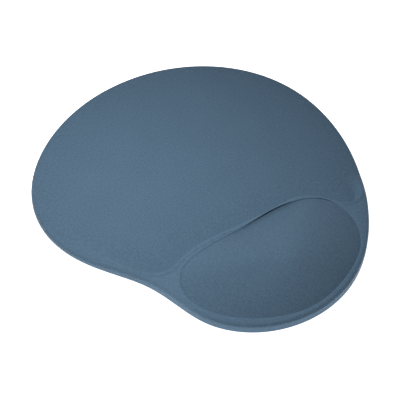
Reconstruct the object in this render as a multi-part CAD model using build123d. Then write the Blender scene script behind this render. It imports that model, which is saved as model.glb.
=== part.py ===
from build123d import *
import math
import os

os.makedirs("parts", exist_ok=True)

# Mouse mat with a built-in gel wrist cushion.  Millimetres, +Z up, +Y away from the user's wrist,
# origin at the bottom centre of the mat.

# Heights above the desk.
BASE_TOP = 1.2          # rubber sheet
BASE_FILM_TOP = 1.4     # adhesive film on the rubber sheet
MAT_TOP = 3.7           # fabric surface of the mouse area
RIM_TOP = 7.0           # fabric surface of the raised rim and ridge
CUSHION_TOP = 15.2      # fabric surface of the gel cushion at its crown
COVER_HEM = 0.4         # lower hem of the fabric side wall
GEL_FLOOR_TOP = 1.6     # flat film under the gel

# Layer thicknesses, measured inwards from the outer fabric surface.
COVER = 0.8
COVER_FILM = 0.2
WRIST_COVER = 0.7
GEL_FILM = 0.3
BASE_INSET = 1.4        # rubber sheet set back from the outside of the side wall
MAT_SETBACK = 0.3       # side of the thin mouse area set back from the side of the rim

# Rounded edges of the outer fabric surface.
MAT_EDGE_RADIUS = 1.8
RIM_EDGE_RADIUS = 1.9

# Outside of the mat seen from above, starting at the wrist end and running clockwise.
OUTLINE = [
    (0, -117), (-31, -109), (-52, -89.5), (-61.5, -66), (-69, -47.5), (-81, -30), (-96, -7),
    (-103.3, 20), (-98, 52), (-75, 84.5), (-40, 107.5), (2, 117), (43, 110.5), (77, 88.5),
    (97, 57), (103.3, 15), (97, -23), (82, -59), (62, -88), (33, -110),
]

# Line where the mouse area meets the raised lip, ridge and rim, from left to right.
RIDGE_LINE = [
    (-108, 28), (-91, -4), (-77, -25), (-68, -37.5), (-61, -43.6), (-54.5, -45.2), (-45, -41.8),
    (-26, -36.5), (3, -35), (32, -33), (44, -33), (55, -37), (63, -45), (69, -51.5),
    (74, -54), (79, -52.5), (84, -45), (89.5, -30), (97, -16), (112, -4),
]

# Seam round the gel cushion.
SEAM = [
    (-54.8, -68), (-47.5, -51.5), (-30, -43.8), (5, -39.6), (40, -37.2), (58, -45), (65, -64),
    (59, -85), (35, -104.3), (5, -113), (-25, -105.7), (-46, -89.5),
]
CUSHION_CENTRE = (9, -81)
CUSHION_HALF_DEPTH = 37
SEAM_LEVEL = 6.0        # where the cushion starts to dome out of its pocket

# Where the raised lip leaves the mouse area and where it reaches full rim height, left and right.
LIP_FOOT_LEFT = (-103, 20)
LIP_TOP_LEFT = (-66, -52)
LIP_FOOT_RIGHT = (94, -36)
LIP_TOP_RIGHT = (79, -51)

# Crown of the cushion: the rise above the seam is (1 - share ** CROWN_OUT) ** CROWN_UP,
# where share is the distance from the crown as a share of the distance to the seam.
CROWN_OUT = 1.9
CROWN_UP = 0.95
CROWN_SHARES = [1.0, 0.93, 0.84, 0.72, 0.58, 0.42, 0.26, 0.1]


def shifted(points, distance, closed=True):
    """The points moved sideways by distance, towards the left of the direction they run in."""
    count = len(points)
    moved = []
    for i, (x, y) in enumerate(points):
        before = points[i - 1] if closed or i > 0 else points[i]
        after = points[(i + 1) % count] if closed or i < count - 1 else points[i]
        run_x = after[0] - before[0]
        run_y = after[1] - before[1]
        run = math.hypot(run_x, run_y)
        moved.append((x - distance * run_y / run, y + distance * run_x / run))
    return moved


def closed_face(points):
    return make_face(Spline(*points, periodic=True))


def outline_face(inset):
    return closed_face(shifted(OUTLINE, -inset))


def ridge_face(inset):
    """Everything on the wrist side of the ridge line."""
    ridge_line = shifted(RIDGE_LINE, -inset, closed=False)
    start_x, start_y = ridge_line[0]
    end_x, end_y = ridge_line[-1]
    surround = Polyline(
        (end_x, end_y), (140, end_y), (140, -150), (-140, -150), (-140, start_y), (start_x, start_y)
    )
    return make_face(Spline(*ridge_line) + surround)


def prism(face, bottom, top):
    return Pos(0, 0, bottom) * extrude(face, amount=top - bottom)


def above_lip(foot, full, inset):
    """Everything above a plane that climbs from the mouse area at foot to the rim height at full."""
    run = (Vector(*full) - Vector(*foot)).length
    climb = math.degrees(math.atan2(RIM_TOP - MAT_TOP, run))
    heading = math.degrees(math.atan2(full[1] - foot[1], full[0] - foot[0]))
    start = Pos(foot[0], foot[1], MAT_TOP - inset)
    return start * Rot(0, 0, heading) * Rot(0, -climb, 0) * Pos(0, 0, 50) * Box(400, 400, 100)


def rounded_prism(face, bottom, top, radius):
    """A prism with its curved top edge rounded."""
    solid = prism(face, bottom, top)
    top_edges = solid.edges().group_by(Axis.Z)[-1]
    return fillet(top_edges.filter_by(GeomType.BSPLINE), radius)


def mat_shape(inset, bottom):
    """Mouse area and raised rim, all surfaces set in from the outer fabric by inset."""
    mat_radius = MAT_EDGE_RADIUS - 0.9 * inset
    rim_radius = RIM_EDGE_RADIUS - 0.9 * inset
    slab = rounded_prism(outline_face(inset + MAT_SETBACK), bottom, MAT_TOP - inset, mat_radius)
    rim = rounded_prism(outline_face(inset), bottom, RIM_TOP - inset, rim_radius)
    rim = rim & rounded_prism(ridge_face(inset), bottom, RIM_TOP - inset, rim_radius)
    rim = rim - above_lip(LIP_FOOT_LEFT, LIP_TOP_LEFT, inset)
    rim = rim - above_lip(LIP_FOOT_RIGHT, LIP_TOP_RIGHT, inset)
    return slab + rim


def pocket(grow):
    """Room for the gel cushion, straight down inside the seam."""
    return prism(closed_face(shifted(SEAM, grow)), -10, 30)


def seam_points(share):
    cx, cy = CUSHION_CENTRE
    return [(cx + share * (x - cx), cy + share * (y - cy)) for x, y in SEAM]


def cushion_shape(inset, bottom):
    """Cushion with straight sides in the pocket and a crowned top, set in by inset."""
    size = 1 - inset / CUSHION_HALF_DEPTH
    rise = CUSHION_TOP - inset - SEAM_LEVEL
    sides = prism(closed_face(seam_points(size)), bottom, SEAM_LEVEL)
    sections = []
    for share in CROWN_SHARES:
        level = SEAM_LEVEL + rise * (1 - share ** CROWN_OUT) ** CROWN_UP
        sections.append(Pos(0, 0, level) * closed_face(seam_points(size * share)))
    crown = loft(sections)
    return sides + crown


nonslip_base = prism(outline_face(BASE_INSET), 0, BASE_TOP)
base_bond_film = prism(outline_face(BASE_INSET), BASE_TOP, BASE_FILM_TOP)

foam_outside = mat_shape(COVER + COVER_FILM, BASE_FILM_TOP)
film_outside = mat_shape(COVER, BASE_FILM_TOP)
cover_outside = mat_shape(0, COVER_HEM)
below_film = prism(outline_face(COVER + MAT_SETBACK), -1, BASE_FILM_TOP)

foam_body = foam_outside - pocket(COVER + COVER_FILM)
cover_bond_film = film_outside - foam_outside - pocket(COVER)
top_cover = cover_outside - film_outside - below_film - pocket(0)

cushion_outside = cushion_shape(0, BASE_FILM_TOP)
film_over_gel = cushion_shape(WRIST_COVER, BASE_FILM_TOP)
gel_outside = cushion_shape(WRIST_COVER + GEL_FILM, BASE_FILM_TOP)
floor_film = prism(closed_face(SEAM), BASE_FILM_TOP, GEL_FLOOR_TOP)

wrist_cover = cushion_outside - film_over_gel
gel_upper_film = film_over_gel - gel_outside
gel_lower_film = gel_outside & floor_film
gel_core = gel_outside - floor_film

export_step(nonslip_base, "parts/nonslip_base.step")
export_step(base_bond_film, "parts/base_bond_film.step")
export_step(foam_body, "parts/foam_body.step")
export_step(cover_bond_film, "parts/cover_bond_film.step")
export_step(top_cover, "parts/top_cover.step")
export_step(wrist_cover, "parts/wrist_cover.step")
export_step(gel_upper_film, "parts/gel_upper_film.step")
export_step(gel_core, "parts/gel_core.step")
export_step(gel_lower_film, "parts/gel_lower_film.step")
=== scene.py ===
"""Looks of the mouse mat with a built-in gel wrist cushion.

Every Blender object is in metres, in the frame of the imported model.  The shape functions work in
millimetres, and mesh_object turns their points into metres.
"""
import math

import bpy
import numpy as np
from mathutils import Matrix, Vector
from mathutils.geometry import delaunay_2d_cdt


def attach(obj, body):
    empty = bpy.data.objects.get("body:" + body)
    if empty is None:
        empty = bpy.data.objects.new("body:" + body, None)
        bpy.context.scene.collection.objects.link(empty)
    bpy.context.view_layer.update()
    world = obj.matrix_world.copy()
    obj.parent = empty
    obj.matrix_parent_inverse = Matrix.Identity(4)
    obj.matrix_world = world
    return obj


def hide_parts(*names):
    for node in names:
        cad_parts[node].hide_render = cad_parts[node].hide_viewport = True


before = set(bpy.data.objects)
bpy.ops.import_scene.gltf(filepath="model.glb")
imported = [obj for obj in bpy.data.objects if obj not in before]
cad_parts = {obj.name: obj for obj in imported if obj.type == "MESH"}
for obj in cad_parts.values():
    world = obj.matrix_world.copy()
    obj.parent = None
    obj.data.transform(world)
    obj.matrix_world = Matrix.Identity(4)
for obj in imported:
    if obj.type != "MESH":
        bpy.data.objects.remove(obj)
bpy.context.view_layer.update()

MM = 0.001

# Heights above the desk, in millimetres.
BASE_TOP = 1.2          # rubber sheet
BASE_FILM_TOP = 1.4     # adhesive film on the rubber sheet
MAT_TOP = 3.7           # mouse area, before its swell and dips
RIM_TOP = 7.0           # raised rim and ridge
CUSHION_TOP = 15.2      # crown of the cushion
COVER_HEM = 0.4         # lower hem of the fabric side wall
SEAM_LEVEL = 6.7        # where the cushion starts to dome out of its pocket
CUSHION_FLOOR = 1.45    # underside of the cushion's pouch
POUCH_FLOOR = 0.15      # thickness of the pouch's flat floor
GEL_FLOOR = 2.1         # underside of the gel

# Thicknesses, and how far each layer's top lies below the outer fabric surface.
MAT_COVER = 0.6
BOND_FILM = 0.2
BOND_FILM_INSET = 0.7
FOAM_INSET = 0.95
WRIST_COVER = 0.7
GEL_FILM = 0.3
BASE_INSET = 1.4        # rubber sheet set back from the outside of the side wall

# Rounded edges of the fabric.
MAT_EDGE_RADIUS = 1.8
RIM_EDGE_RADIUS = 1.9
SEAM_EDGE_RADIUS = 0.35
SEAM_BAND = 1.9         # width of the finely cut band of fabric round the seam
HEM_RADIUS = 0.5
INSET_ROUNDING = 0.8    # how much a layer's edge radius and ridge shrink for each millimetre of inset

# The mouse area swells in the middle and dips beside the ridge and towards its edge.
MAT_SWELL = 0.8
RIDGE_DIP = 1.8
RIDGE_DIP_WIDTH = 10
EDGE_DIP = 0.75
EDGE_DIP_WIDTH = 9
DEEPEST_DIP = 1.0

# Slope from the rim down to the mouse area and bead on top of it, by distance from the ridge line.
SLOPE_TOP = -1.2
SLOPE_FOOT = 2.4
PAINTED_LIGHT_FOOT = 1.6      # where the painted light on the raised fabric ends
RUN_OUT_SPREAD = 3      # how many times its own width the slope gains where the lip runs out
RIDGE_BEAD = 0.6
BEAD_PLACE = -1.3
BEAD_WIDTH = 1.3

# The two ends of the raised lip: where it leaves the mouse area, which way it climbs, and how far
# it takes to reach the rim's full height.
LEFT_FOOT = (-103, 20)
LEFT_CLIMB = (0.457, -0.889)
LEFT_RUN = 81
RIGHT_FOOT = (94, -36)
RIGHT_CLIMB = (-0.707, -0.707)
RIGHT_RUN = 21
LIP_SOFTNESS = 0.8      # rounding where the lip reaches the rim's height
FOOT_SOFTNESS = 0.3     # rounding where the lip leaves the mouse area

# Outside of the mat seen from above.
OUTLINE = [
    (0, -117), (-31, -109), (-52, -89.5), (-61.5, -66), (-69, -47.5), (-81, -30), (-96, -7),
    (-103.3, 20), (-98, 52), (-75, 84.5), (-40, 107.5), (2, 117), (43, 110.5), (77, 88.5),
    (97, 57), (103.3, 15), (97, -23), (82, -59), (62, -88), (33, -110),
]

# Line where the mouse area meets the raised lip, ridge and rim, from left to right.
RIDGE_LINE = [
    (-108, 28), (-91, -4), (-77, -25), (-69, -38.5), (-61.5, -45), (-54.8, -46.6), (-45, -43.2),
    (-26, -38), (3, -36.6), (32, -34.6), (44, -34.6), (54, -38.4), (62, -46.5), (68, -53),
    (73.5, -55.3), (79, -53.5), (84, -46), (89.5, -32), (97, -18), (112, -6),
]

# Seam round the gel cushion.
SEAM = [
    (-54.8, -68), (-47.5, -51.5), (-30, -43.8), (5, -39.6), (40, -37.2), (58, -45), (65, -64),
    (59, -85), (35, -104.3), (5, -113), (-25, -105.7), (-46, -89.5),
]
SEAM_MIDDLE = (5, -74)
SEAM_HALF = (60, 37)
CUSHION_CENTRE = (9, -81)

# The crown falls off as (1 - share ** CROWN_OUT) ** power.  The power is CROWN_UP times a gain that
# changes with the turn round the seam's middle, in radians from +X: it is a little lower on the right
# than on the left, and much lower round FULLEST_TURN, where the cushion is fullest.
CROWN_OUT = 1.55
CROWN_UP = 0.95
CROWN_GAIN = 1.15
RIGHT_FULLER = 0.12
FULLEST = 0.62
FULLEST_TURN = 2.55
FULLEST_SPREAD = 0.55

# Valley in the crown along the ridge: how deep, how far in from the seam, and where along x it
# starts, is full, starts to fade and ends.
VALLEY_DEPTH = 2.4
VALLEY_PLACE = 6.5
VALLEY_RUN = (-22, 6, 36, 58)
RIDGE_SIDE = -60        # the seam above this y lies along the ridge

# How densely the meshes are cut: points on each curve, and the pitch near the ridge and elsewhere.
OUTLINE_POINTS = 700
SEAM_POINTS = 400
RIDGE_POINTS = 420
COVER_PITCH = (0.75, 2.4)
LAYER_PITCH = (1.3, 4.0)
BASE_PITCH = 1.5
CROWN_RINGS = 43
RING_CROWDING = 1.8     # above 1, the rings crowd towards the seam

# Moulded dimples under the rubber sheet.
DIMPLE_PITCH = 6
DIMPLE_DEPTH = 0.28

# Colours, linear.
FABRIC = (0.0956, 0.166, 0.244)
RUBBER = (0.021, 0.022, 0.024)
FOAM = (0.05, 0.055, 0.06)
BOND = (0.72, 0.71, 0.67)
FILM = (0.60, 0.66, 0.70)
GEL = (0.45, 0.55, 0.62)
PAINTED_LIGHT_GAIN = 0.15     # painted light: how much lighter the raised lip, ridge and rim are painted

# Light and camera, in metres, watts, degrees and, for the lens, millimetres.
KEY_PLACE = (-0.055, 0.042, 0.28)
KEY_TARGET = (-0.10, -0.04, 0)
KEY_SIZE = 0.12
KEY_POWER = 0.82
FLOOR_HALF = 6.0
FLOOR_GLOW = 1.25
SKY = 0.02
CAMERA_TARGET = (-0.0083, -0.0055, 0.005)
CAMERA_AZIMUTH = -30
CAMERA_ELEVATION = 47.4
CAMERA_DISTANCE = 0.9
CAMERA_LENS = 129.1


# ---------------------------------------------------------------- plan curves
def spline(points, closed, count):
    """A smooth cubic through the points, read at count places evenly spaced along it."""
    knots = np.array(points, float)
    if closed:
        knots = np.vstack([knots, knots[:1]])
    step = np.linalg.norm(np.diff(knots, axis=0), axis=1)
    place = np.r_[0, np.cumsum(step)]
    n = len(step)
    size = n if closed else n + 1
    matrix = np.zeros((size, size))
    right = np.zeros((size, 2))
    slope = np.diff(knots, axis=0) / step[:, None]
    for i in range(size):
        if not closed and i in (0, n):
            matrix[i, i] = 1
            continue
        before = (i - 1) % n
        matrix[i, (i - 1) % size] += step[before]
        matrix[i, i] += 2 * (step[before] + step[i])
        matrix[i, (i + 1) % size] += step[i]
        right[i] = 6 * (slope[i] - slope[before])
    bend = np.linalg.solve(matrix, right)
    if closed:
        bend = np.vstack([bend, bend[:1]])

    def at(where):
        i = np.clip(np.searchsorted(place, where, side="right") - 1, 0, n - 1)
        width = step[i][:, None]
        a = ((place[i + 1] - where) / step[i])[:, None]
        b = 1 - a
        cubic = ((a**3 - a) * bend[i] + (b**3 - b) * bend[i + 1]) * width**2 / 6
        return a * knots[i] + b * knots[i + 1] + cubic

    fine = at(np.linspace(0, place[-1], 4000))
    run = np.r_[0, np.cumsum(np.linalg.norm(np.diff(fine, axis=0), axis=1))]
    even = np.linspace(0, run[-1], count, endpoint=not closed)
    return np.column_stack([np.interp(even, run, fine[:, k]) for k in (0, 1)])


def inward(loop):
    """Unit normals of a clockwise closed loop, pointing to its inside."""
    along = np.roll(loop, -1, axis=0) - np.roll(loop, 1, axis=0)
    along /= np.linalg.norm(along, axis=1)[:, None]
    return np.column_stack([along[:, 1], -along[:, 0]])


def distance_to(points, line, closed):
    """Distance from each point to a polyline."""
    start = line if closed else line[:-1]
    end = np.roll(line, -1, axis=0) if closed else line[1:]
    span = end - start
    length = (span**2).sum(1)
    out = np.empty(len(points))
    for first in range(0, len(points), 4000):
        p = points[first:first + 4000, None, :] - start[None]
        share = np.clip((p * span).sum(2) / length, 0, 1)
        away = p - share[:, :, None] * span
        out[first:first + 4000] = np.sqrt((away**2).sum(2).min(1))
    return out


def inside(points, loop):
    """True for each point inside a closed polyline."""
    x, y = points[:, 0], points[:, 1]
    hit = np.zeros(len(points), bool)
    for (ax, ay), (bx, by) in zip(loop, np.roll(loop, -1, axis=0)):
        crosses = (ay > y) != (by > y)
        if ay != by:
            hit ^= crosses & (x < (bx - ax) * (y - ay) / (by - ay) + ax)
    return hit


def smooth_step(low, high, value):
    """0 up to low, 1 from high on, and a smooth climb between them."""
    t = np.clip((value - low) / (high - low), 0, 1)
    return t * t * (3 - 2 * t)


def smooth_min(a, b, soft):
    """The smaller of a and b, rounded off where they differ by less than soft."""
    t = np.clip(0.5 + 0.5 * (b - a) / soft, 0, 1)
    return b + (a - b) * t - soft * t * (1 - t)


outline = spline(OUTLINE, True, OUTLINE_POINTS)
seam = spline(SEAM, True, SEAM_POINTS)
ridge = spline(RIDGE_LINE, False, RIDGE_POINTS)
# closed loop round everything past the ridge line, well outside the mat on its other sides
mouse_side = np.vstack([ridge, [(160, 0), (160, 160), (-160, 160), (-160, 30)]])


# ---------------------------------------------------------------- fabric heights
def lip_height(p, foot, climb, run):
    """Height of a plane that climbs from the mouse area at foot to the rim's height over a run."""
    return MAT_TOP + (RIM_TOP - MAT_TOP) * ((p - foot) @ climb) / run


def rim_height(p):
    """Height of the raised lip, ridge and rim: level round the cushion, running out at both ends."""
    left = lip_height(p, LEFT_FOOT, LEFT_CLIMB, LEFT_RUN)
    right = lip_height(p, RIGHT_FOOT, RIGHT_CLIMB, RIGHT_RUN)
    lip = smooth_min(left, right, LIP_SOFTNESS)
    capped = smooth_min(lip, np.full(len(p), RIM_TOP), LIP_SOFTNESS)
    return -smooth_min(-capped, np.full(len(p), -MAT_TOP), FOOT_SOFTNESS)


def raised_share(p):
    """How far the lip, ridge and rim have risen at a place, from 0 where they run out to 1."""
    return np.clip((rim_height(p) - MAT_TOP) / (RIM_TOP - MAT_TOP), 0, 1)


def past_ridge(p):
    """Distance from the ridge line, positive on the mouse area and negative on the wrist side."""
    away = distance_to(p, ridge, False)
    return np.where(inside(p, mouse_side), away, -away)


def slope_spread(raised):
    """How many times wider the slope beside the ridge line is where the lip runs out."""
    return 1 + RUN_OUT_SPREAD * (1 - raised)


def on_raised_part(p):
    """1 on the lip, ridge and rim, which are painted lighter as painted light, and 0 on the mouse area."""
    raised = raised_share(p)
    return raised**2 * (1 - smooth_step(SLOPE_TOP, PAINTED_LIGHT_FOOT, past_ridge(p) / slope_spread(raised)))


def round_off(distance, radius):
    """Drop of a rounded edge at a distance in from it."""
    d = np.minimum(distance, radius)
    return radius - np.sqrt(np.maximum(radius**2 - (radius - d) ** 2, 0))


def edge_radius(p):
    """Radius of the mat's rounded top edge, a little larger on the rim than beside the mouse area."""
    return MAT_EDGE_RADIUS + (RIM_EDGE_RADIUS - MAT_EDGE_RADIUS) * raised_share(p)


def mouse_height(past, from_edge, raised):
    """Top of the mouse area, by distance past the ridge line and from the mat's edge."""
    ridge_dip = RIDGE_DIP * raised * np.exp(-np.maximum(past, 0) / RIDGE_DIP_WIDTH)
    edge_dip = EDGE_DIP * np.exp(-from_edge / EDGE_DIP_WIDTH)
    return np.maximum(MAT_TOP + MAT_SWELL - ridge_dip - edge_dip, MAT_TOP - DEEPEST_DIP)


def layer_height(p, inset=0.0):
    """Top of the fabric over the mouse area, ridge and rim, or of a layer that lies inset below it."""
    from_edge = np.maximum(distance_to(p, outline, True) - inset, 0)
    from_seam = np.maximum(distance_to(p, seam, True) - inset, 0)
    past = past_ridge(p)
    raised = raised_share(p)
    mouse = mouse_height(past, from_edge, raised)
    slope_place = (past + inset * INSET_ROUNDING) / slope_spread(raised)
    on_rim = 1 - smooth_step(SLOPE_TOP, SLOPE_FOOT, slope_place)
    bead = RIDGE_BEAD * raised * np.exp(-((past - BEAD_PLACE) / BEAD_WIDTH) ** 2)
    top = mouse + np.maximum(rim_height(p) - mouse, 0) * on_rim + bead
    top = top - round_off(from_edge, edge_radius(p) - INSET_ROUNDING * inset)
    return top - round_off(from_seam, SEAM_EDGE_RADIUS) - inset


# ---------------------------------------------------------------- mesh helpers
def mesh_object(name, points_mm, faces):
    """A smoothly shaded object from points in millimetres."""
    mesh = bpy.data.meshes.new(name)
    mesh.from_pydata((np.asarray(points_mm) * MM).tolist(), [], [list(map(int, f)) for f in faces])
    mesh.update()
    mesh.polygons.foreach_set("use_smooth", [True] * len(mesh.polygons))
    made = bpy.data.objects.new(name, mesh)
    bpy.context.scene.collection.objects.link(made)
    return made


def grid_points(pitch, shift=0.0):
    """A triangular lattice of points over the mat's box."""
    half_width, half_depth = 105, 118
    row_height = 0.866
    rows = []
    for i, y in enumerate(np.arange(-half_depth + shift, half_depth, pitch * row_height)):
        x = np.arange(-half_width + (i % 2) * pitch / 2, half_width, pitch)
        rows.append(np.column_stack([x, np.full(len(x), y)]))
    return np.vstack(rows)


def graded_points(pitch, near_to, far_from, shift):
    """A fine lattice within near_to of the ridge line and a coarse one beyond far_from."""
    near = grid_points(pitch[0])
    near = near[distance_to(near, ridge, False) < near_to]
    far = grid_points(pitch[1], shift)
    far = far[distance_to(far, ridge, False) > far_from]
    return np.vstack([near, far])


def between(points, edge, hole):
    """True for each point inside the edge loop and outside the hole loop."""
    return inside(points, edge) & ~inside(points, hole)


def triangulate(points, keep):
    """Delaunay triangles of the points, wound to face up, whose middles pass keep."""
    made = delaunay_2d_cdt([Vector(p) for p in points], [], [], 0, 1e-7)
    place = np.array([tuple(p) for p in made[0]])
    faces = np.array(made[2])
    middle = place[faces].mean(axis=1)
    faces = faces[keep(middle)]
    a, b, c = (place[faces[:, k]] for k in range(3))
    ab, ac = b - a, c - a
    down = ab[:, 0] * ac[:, 1] - ab[:, 1] * ac[:, 0] < 0
    faces[down] = faces[down][:, ::-1]
    return place, faces


def loop_index(place, loop):
    """Where each point of a loop is in a list of places."""
    return [int(np.argmin(((place - q) ** 2).sum(1))) for q in loop]


def level(loop, height):
    """A loop of points at one height, or at one height for each point."""
    return np.column_stack([loop, np.broadcast_to(height, len(loop))])


def add_wall(points, faces, loop, rings):
    """Adds rings of points beyond a loop and joins them with quads; returns the last ring."""
    count = len(loop)
    last = list(loop)
    for ring in rings:
        first = len(points)
        points.extend(ring.tolist())
        now = list(range(first, first + count))
        for i in range(count):
            j = (i + 1) % count
            faces.append((last[i], last[j], now[j], now[i]))
        last = now
    return last


def edge_loops(loop, normal, radius, turns):
    """Copies of a loop moved in so that a rounded edge is cut at the given turns, in degrees."""
    return [loop + normal * (radius * (1 - math.cos(math.radians(t))))[:, None] for t in turns]


# ---------------------------------------------------------------- mat
def cover_field():
    """Lattice points for the fabric, kept clear of its two rounded edges."""
    field = graded_points(COVER_PITCH, near_to=5.5, far_from=6.6, shift=0.37)
    # the fine points may come closer to the edges than the coarse ones
    room = np.where(distance_to(field, ridge, False) < 6, 0.5, 1.3)
    keep = between(field, outline, seam)
    keep &= distance_to(field, outline, True) > RIM_EDGE_RADIUS + room - 0.2
    keep &= distance_to(field, seam, True) > SEAM_BAND + room * 0.8
    return field[keep]


def side_wall(top, in_edge):
    """Rings from the mat's edge down its side and round the hem at the foot."""
    foot = COVER_HEM + HEM_RADIUS
    rings = [level(outline, top + (foot - top) * share) for share in (0.35, 0.7, 0.92)]
    for turn in (30, 60, 90, 120):
        t = math.radians(turn)
        in_by = HEM_RADIUS * (1 - math.cos(t))
        rings.append(level(outline + in_edge * in_by, foot - HEM_RADIUS * math.sin(t)))
    return rings


def build_cover(name):
    """The fabric over the mouse area, the ridge, the rim and down the sides."""
    turns = (0, 14, 28, 42, 56, 70, 84)
    in_edge = inward(outline)
    out_seam = -inward(seam)
    loops = edge_loops(outline, in_edge, edge_radius(outline), turns)
    loops += edge_loops(seam, out_seam, np.full(len(seam), SEAM_EDGE_RADIUS), turns)
    loops.append(seam + out_seam * SEAM_BAND)
    place, faces = triangulate(
        np.vstack(loops + [cover_field()]),
        lambda middle: between(middle, outline, seam),
    )
    height = layer_height(place)
    points = level(place, height).tolist()
    faces = faces.tolist()

    edge = loop_index(place, outline)
    add_wall(points, faces, edge, side_wall(height[edge], in_edge))

    hole = loop_index(place, seam)
    drops = (0.8, 1.8, 2.8)
    rings = [level(seam, height[hole] - drop) for drop in drops]
    # both loops run clockwise, so the wall of the hole is wound the other way round
    add_wall(points, faces, hole[::-1], [r[::-1] for r in rings])

    made = mesh_object(name, points, faces)
    # the stretch attribute holds painted light: 1 where the raised lip, ridge and rim are painted lighter
    stretch = made.data.attributes.new("stretch", "FLOAT", "POINT")
    stretch.data.foreach_set("value", on_raised_part(np.array(points)[:, :2]))
    cloth = made.modifiers.new("thickness", "SOLIDIFY")
    cloth.thickness = MAT_COVER * MM
    cloth.offset = -1
    return made


def build_layer(name, inset, thickness=None):
    """A closed layer inside the mat: a thin one follows its own top, the foam is flat below."""
    edge_loop = outline + inward(outline) * inset
    hole_loop = seam - inward(seam) * inset
    turns = (0, 30, 60, 84)
    radius = edge_radius(outline) - INSET_ROUNDING * inset
    loops = edge_loops(edge_loop, inward(edge_loop), radius, turns)
    loops += edge_loops(hole_loop, -inward(hole_loop), np.full(len(seam), SEAM_EDGE_RADIUS), turns[::3])
    field = graded_points(LAYER_PITCH, near_to=5, far_from=7, shift=0.3)
    keep = between(field, edge_loop, hole_loop)
    keep &= distance_to(field, edge_loop, True) > 2.6
    keep &= distance_to(field, hole_loop, True) > 1.3
    place, faces = triangulate(
        np.vstack(loops + [field[keep]]),
        lambda middle: between(middle, edge_loop, hole_loop),
    )
    top = layer_height(place, inset)
    under = BASE_FILM_TOP if thickness is None else top - thickness
    points = level(place, top).tolist() + level(place, under).tolist()
    below = len(place)
    closed = faces.tolist() + (faces[:, ::-1] + below).tolist()
    for loop in (loop_index(place, edge_loop), loop_index(place, hole_loop)[::-1]):
        for i, here in enumerate(loop):
            there = loop[(i + 1) % len(loop)]
            closed.append((here, there, there + below, here + below))
    return mesh_object(name, points, closed)


def build_base(name):
    """The rubber sheet under the mat, with shallow moulded grip dimples."""
    loop = outline + inward(outline) * BASE_INSET
    field = grid_points(BASE_PITCH)
    keep = inside(field, loop)
    keep &= distance_to(field, loop, True) > 1.3
    loops = [loop, loop + inward(loop) * 0.6]
    place, faces = triangulate(np.vstack(loops + [field[keep]]), lambda middle: inside(middle, loop))
    waves = np.cos(place * 2 * np.pi / DIMPLE_PITCH)
    pattern = 0.5 - 0.5 * waves[:, 0] * waves[:, 1]
    height = DIMPLE_DEPTH * pattern * smooth_step(1.0, 4.0, distance_to(place, loop, True))
    points = level(place, height).tolist()
    faces = faces[:, ::-1].tolist()
    edge = loop_index(place, loop)[::-1]
    rings = [level(loop[::-1], z) for z in (0.4, 0.9, BASE_TOP)]
    last = add_wall(points, faces, edge, rings)
    middle = len(points)
    points.append([0, 0, BASE_TOP])
    for i in range(len(last)):
        faces.append((last[i], last[(i + 1) % len(last)], middle))
    return mesh_object(name, points, faces)


# ---------------------------------------------------------------- cushion and gel
def crown_height(share, loop):
    """Height of the crown above the seam on a ring at a share of the way out, one value per seam point."""
    across, along = ((loop - SEAM_MIDDLE) / SEAM_HALF).T
    turn = np.arctan2(along, across) % (2 * math.pi)
    fullest = FULLEST * np.exp(-((turn - FULLEST_TURN) / FULLEST_SPREAD) ** 2)
    power = CROWN_UP * (CROWN_GAIN - RIGHT_FULLER * np.cos(turn) - fullest)
    rise = (CUSHION_TOP - SEAM_LEVEL) * (1 - share**CROWN_OUT) ** power
    start, full, fade, end = VALLEY_RUN
    by_ridge = smooth_step(start, full, loop[:, 0]) * (1 - smooth_step(fade, end, loop[:, 0]))
    by_ridge = by_ridge * (loop[:, 1] > RIDGE_SIDE)
    from_seam = (1 - share) * np.linalg.norm(loop - CUSHION_CENTRE, axis=1) / VALLEY_PLACE
    return rise - VALLEY_DEPTH * by_ridge * from_seam * np.exp(1 - from_seam)


def shrunk(loop, share, height):
    """A loop drawn in towards the cushion's centre, at a height or one height for each point."""
    return level(CUSHION_CENTRE + (loop - CUSHION_CENTRE) * share, height)


def crown_rings(inset):
    """Rings up the crown from the seam, on a surface that lies inset below the fabric."""
    loop = seam + inward(seam) * inset
    rings = []
    for step in np.linspace(0, 1, CROWN_RINGS, endpoint=False):
        share = 1 - step**RING_CROWDING
        rings.append(shrunk(loop, share, SEAM_LEVEL - inset + crown_height(share, seam)))
    return rings


def wall_rings(inset, floor):
    """Rings from the middle of a flat floor out to the seam and up the straight wall in the pocket."""
    loop = seam + inward(seam) * inset
    rings = [shrunk(loop, share, floor) for share in (0.2, 0.6, 0.9, 0.985)]
    rings += [shrunk(loop, 1, height) for height in (floor + 0.4, 3.2, 4.6)]
    return rings


def closed_stack(rings, low, high):
    """Points and outward faces of a closed skin over rings, with a middle point below and above."""
    count = len(rings[0])
    points = np.vstack(rings).tolist()
    faces = []
    for k in range(len(rings) - 1):
        for i in range(count):
            j = (i + 1) % count
            faces.append(((k + 1) * count + i, (k + 1) * count + j, k * count + j, k * count + i))
    first, last = len(points), (len(rings) - 1) * count
    points.append([*CUSHION_CENTRE, low])
    points.append([*CUSHION_CENTRE, high])
    for i in range(count):
        j = (i + 1) % count
        faces.append((i, j, first))
        faces.append((first + 1, last + j, last + i))
    return points, faces


def cushion_skin(inset, floor):
    """The cushion's whole surface, set in from the fabric by inset, down to a flat floor."""
    return closed_stack(wall_rings(inset, floor) + crown_rings(inset), floor, CUSHION_TOP - inset)


def build_cushion(name):
    """The fabric pouch round the gel: a crowned skin, straight in its pocket and flat below."""
    points, faces = cushion_skin(0, CUSHION_FLOOR)
    hollow, hollow_faces = cushion_skin(WRIST_COVER, CUSHION_FLOOR + POUCH_FLOOR)
    start = len(points)
    faces += [tuple(start + i for i in reversed(face)) for face in hollow_faces]
    return mesh_object(name, points + hollow, faces)


def build_gel(name):
    """The gel itself, under its upper film."""
    inset = WRIST_COVER + 2 * GEL_FILM
    return mesh_object(name, *cushion_skin(inset, GEL_FLOOR))


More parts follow.
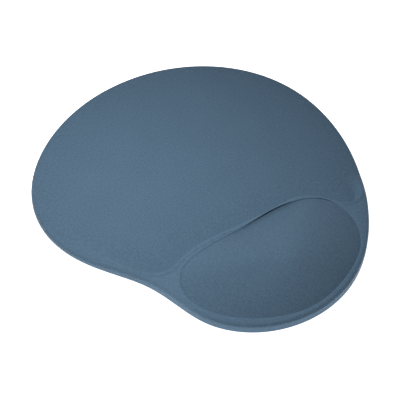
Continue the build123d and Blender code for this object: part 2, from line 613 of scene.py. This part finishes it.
def build_upper_film(name):
    """The film over the gel, a thin shell that follows the crown."""
    outer = WRIST_COVER + 0.5 * GEL_FILM
    inner = WRIST_COVER + 1.5 * GEL_FILM
    rings = crown_rings(inner)[::-1] + crown_rings(outer)
    return mesh_object(name, *closed_stack(rings, CUSHION_TOP - inner, CUSHION_TOP - outer))


def build_lower_film(name):
    """The flat film that the gel lies on."""
    loop = seam + inward(seam) * (WRIST_COVER + 0.5)
    low = CUSHION_FLOOR + 0.25
    high = GEL_FLOOR - 0.1
    rings = [shrunk(loop, share, low) for share in (0.2, 0.6, 1)]
    rings += [shrunk(loop, share, high) for share in (1, 0.6, 0.2)]
    return mesh_object(name, *closed_stack(rings, low, high))


# ---------------------------------------------------------------- materials
class Nodes:
    """A material with short ways to add and join its nodes."""

    def __init__(self, name, **fixed):
        self.material = bpy.data.materials.new(name)
        self.material.use_nodes = True
        self.tree = self.material.node_tree
        self.shader = self.tree.nodes["Principled BSDF"]
        for label, value in fixed.items():
            self.shader.inputs[label.replace("_", " ")].default_value = value
        self.place = self.add("ShaderNodeTexCoord").outputs["Object"]

    def add(self, kind, **settings):
        node = self.tree.nodes.new(kind)
        for key, value in settings.items():
            setattr(node, key, value)
        return node

    def join(self, source, target):
        self.tree.links.new(source, target)

    def math(self, operation, first, second):
        node = self.add("ShaderNodeMath", operation=operation)
        for socket, value in zip(node.inputs, (first, second)):
            if isinstance(value, (int, float)):
                socket.default_value = value
            else:
                self.join(value, socket)
        return node.outputs[0]

    def noise(self, scale, detail, stretch=(1, 1, 1)):
        mapping = self.add("ShaderNodeMapping")
        mapping.inputs["Scale"].default_value = stretch
        self.join(self.place, mapping.inputs["Vector"])
        node = self.add("ShaderNodeTexNoise")
        node.inputs["Scale"].default_value = scale
        node.inputs["Detail"].default_value = detail
        self.join(mapping.outputs[0], node.inputs["Vector"])
        return node.outputs["Fac"]

    def ramp(self, value, stops):
        node = self.add("ShaderNodeValToRGB")
        ramp = node.color_ramp
        while len(ramp.elements) < len(stops):
            ramp.elements.new(0.5)
        for element, (place, colour) in zip(ramp.elements, stops):
            element.position = place
            element.color = (*colour, 1)
        self.join(value, node.inputs["Fac"])
        return node.outputs["Color"]

    def bump(self, height, strength, depth):
        node = self.add("ShaderNodeBump")
        node.inputs["Strength"].default_value = strength
        node.inputs["Distance"].default_value = depth
        self.join(height, node.inputs["Height"])
        self.join(node.outputs["Normal"], self.shader.inputs["Normal"])

    def paint(self, value, colour, stops):
        """Base colour that goes through shades of one colour; stops are (place, factor)."""
        shades = [(place, scaled(colour, factor)) for place, factor in stops]
        self.join(self.ramp(value, shades), self.shader.inputs["Base Color"])


def scaled(colour, factor):
    return tuple(c * factor for c in colour)


def knit_height(m):
    """Height of a jersey knit: ribs along Y, rows of loops that lean with them, and a grain in the yarn."""
    rib_pitch = 0.00062
    loop_pitch = 0.00050
    parts = m.add("ShaderNodeSeparateXYZ")
    m.join(m.place, parts.inputs[0])
    rib = m.math("COSINE", m.math("MULTIPLY", parts.outputs["X"], 2 * math.pi / rib_pitch), 0)
    lean = m.math("MULTIPLY", rib, 1.3)
    down_side = m.math("MULTIPLY", parts.outputs["Z"], 0.7)
    across = m.math("ADD", parts.outputs["Y"], down_side)
    run = m.math("ADD", m.math("MULTIPLY", across, 2 * math.pi / loop_pitch), lean)
    stitch = m.math("MULTIPLY", m.math("SINE", run, 0), 0.6)
    knit = m.math("ADD", rib, stitch)
    return m.math("ADD", m.math("MULTIPLY", knit, 0.35), m.noise(1400, 3))


def knit_fabric(name, colour):
    """Fine jersey knit in slowly changing shades, painted lighter on the raised lip, ridge and rim as
    painted light.
    """
    m = Nodes(name, Roughness=0.9, Sheen_Weight=0.35, Sheen_Roughness=0.4, Specular_IOR_Level=0.2)
    m.bump(knit_height(m), 0.35, 0.00012)
    fine = m.math("MULTIPLY", m.noise(900, 2), 0.86)
    slow = m.math("MULTIPLY", m.noise(40, 2), 0.14)
    shade = m.math("ADD", fine, slow)
    stops = [(0.28, scaled(colour, 0.84)), (0.5, colour), (0.72, scaled(colour, 1.16))]
    lighter = m.add("ShaderNodeVectorMath", operation="SCALE")
    m.join(m.ramp(shade, stops), lighter.inputs["Vector"])
    # painted light: the base colour is made lighter on the raised lip, ridge and rim, following the stretch
    # attribute
    painted_light = m.add("ShaderNodeAttribute", attribute_name="stretch").outputs["Fac"]
    m.join(m.math("ADD", m.math("MULTIPLY", painted_light, PAINTED_LIGHT_GAIN), 1), lighter.inputs["Scale"])
    m.join(lighter.outputs["Vector"], m.shader.inputs["Base Color"])
    return m.material


def moulded_rubber(name):
    """Matt rubber with a fine moulded grain."""
    m = Nodes(name, Roughness=0.75, Specular_IOR_Level=0.35)
    m.bump(m.noise(1600, 3), 0.4, 0.00008)
    m.paint(m.noise(60, 4), RUBBER, [(0.35, 0.8), (0.65, 1.3)])
    return m.material


def closed_cell_foam(name):
    """Dark foam, darkest in the middle of each small cell."""
    m = Nodes(name, Roughness=0.95)
    cells = m.add("ShaderNodeTexVoronoi")
    cells.inputs["Scale"].default_value = 1500
    m.join(m.place, cells.inputs["Vector"])
    m.bump(cells.outputs["Distance"], 0.6, 0.0002)
    m.paint(cells.outputs["Distance"], FOAM, [(0.1, 0.6), (0.7, 1.25)])
    return m.material


def clear_film(name, colour, roughness):
    """Hot-melt or gel film: milky, with faint streaks from its roll."""
    m = Nodes(name, Roughness=roughness, Specular_IOR_Level=0.5, Coat_Weight=0.3, Coat_Roughness=0.2)
    streaks = m.noise(90, 3, stretch=(1, 0.08, 1))
    m.bump(streaks, 0.15, 0.0001)
    m.paint(streaks, colour, [(0.3, 0.92), (0.7, 1.06)])
    return m.material


def gel_filling(name):
    """Glossy gel with faint clouds in it."""
    m = Nodes(name, Roughness=0.12, IOR=1.42, Coat_Weight=0.5, Coat_Roughness=0.08)
    cloud = m.noise(35, 4)
    m.bump(cloud, 0.1, 0.0003)
    m.paint(cloud, GEL, [(0.3, 0.85), (0.7, 1.1)])
    return m.material


def dress_node(node, material):
    """Gives a carried-over CAD node its material."""
    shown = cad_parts[node]
    if not shown.material_slots:
        shown.data.materials.append(material)
    for holder in shown.material_slots:
        holder.material = material


# ---------------------------------------------------------------- the object
gel_film = clear_film("gel_film", FILM, 0.2)

cover = build_cover("mat_cover")
cushion = build_cushion("gel_cushion_cover")

# Each piece with its material, the CAD node that it stands for and that node's material slot.
pieces = [
    (cover, knit_fabric("mat_fabric_knit", FABRIC), "top_cover", "mat_fabric"),
    (cushion, knit_fabric("cushion_fabric_knit", FABRIC), "wrist_cover", "cushion_fabric"),
    (build_base("grip_base"), moulded_rubber("grip_rubber"), "nonslip_base", "base_rubber"),
    (build_layer("foam_moulding", FOAM_INSET), closed_cell_foam("foam_cells"), "foam_body", "foam"),
    (
        build_layer("fabric_bond_film", BOND_FILM_INSET, BOND_FILM),
        clear_film("bond_fabric", BOND, 0.45),
        "cover_bond_film",
        "bond_film",
    ),
    (build_upper_film("gel_film_over"), gel_film, "gel_upper_film", "gel_film"),
    (build_gel("gel_pad"), gel_filling("gel"), "gel_core", "gel"),
    (build_lower_film("gel_film_under"), gel_film, "gel_lower_film", "gel_film"),
]
for piece, material, node, slot in pieces:
    piece.data.materials.append(material)
    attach(piece, "root")
    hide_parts(node)

dress_node("base_bond_film", clear_film("bond_base", BOND, 0.45))


# ---------------------------------------------------------------- stage, light and camera
def build_floor():
    """A white floor that glows, so that the mat stands on even white."""
    mesh = bpy.data.meshes.new("floor")
    corners = [(x * FLOOR_HALF, y * FLOOR_HALF, 0) for x, y in ((-1, -1), (1, -1), (1, 1), (-1, 1))]
    mesh.from_pydata(corners, [], [(0, 1, 2, 3)])
    floor = bpy.data.objects.new("floor", mesh)
    bpy.context.scene.collection.objects.link(floor)
    m = Nodes("floor_paper", Roughness=1.0, Specular_IOR_Level=0.0)
    m.shader.inputs["Emission Color"].default_value = (1, 1, 1, 1)
    m.shader.inputs["Emission Strength"].default_value = FLOOR_GLOW
    m.paint(m.noise(3, 2), (1, 1, 1), [(0.3, 0.86), (0.7, 0.88)])
    floor.data.materials.append(m.material)


def build_light(name, place, target, size, power):
    """A round area light at a place, aimed at a target."""
    lamp = bpy.data.lights.new(name, "AREA")
    lamp.shape = "DISK"
    lamp.size = size
    lamp.energy = power
    holder = bpy.data.objects.new(name, lamp)
    holder.location = place
    holder.rotation_mode = "QUATERNION"
    holder.rotation_quaternion = (Vector(target) - Vector(place)).to_track_quat("-Z", "Y")
    holder.visible_camera = False
    bpy.context.scene.collection.objects.link(holder)


def build_camera():
    """A camera that looks at the target from the given azimuth, elevation and distance."""
    azimuth = math.radians(CAMERA_AZIMUTH)
    elevation = math.radians(CAMERA_ELEVATION)
    back = Vector((
        math.sin(azimuth) * math.cos(elevation),
        -math.cos(azimuth) * math.cos(elevation),
        math.sin(elevation),
    ))
    data = bpy.data.cameras.new("camera")
    data.sensor_width = 36
    data.lens = CAMERA_LENS
    data.clip_start = 0.01
    data.clip_end = 50
    camera = bpy.data.objects.new("camera", data)
    camera.location = Vector(CAMERA_TARGET) + back * CAMERA_DISTANCE
    camera.rotation_mode = "QUATERNION"
    camera.rotation_quaternion = (-back).to_track_quat("-Z", "Y")
    bpy.context.scene.collection.objects.link(camera)
    bpy.context.scene.camera = camera


def build_sky():
    """A weak even white light from all round."""
    world = bpy.data.worlds.new("studio")
    world.use_nodes = True
    background = world.node_tree.nodes["Background"]
    background.inputs["Color"].default_value = (1, 1, 1, 1)
    background.inputs["Strength"].default_value = SKY
    bpy.context.scene.world = world


build_floor()
build_light("key", KEY_PLACE, KEY_TARGET, KEY_SIZE, KEY_POWER)
build_sky()
build_camera()
bpy.context.scene.view_settings.view_transform = "Standard"
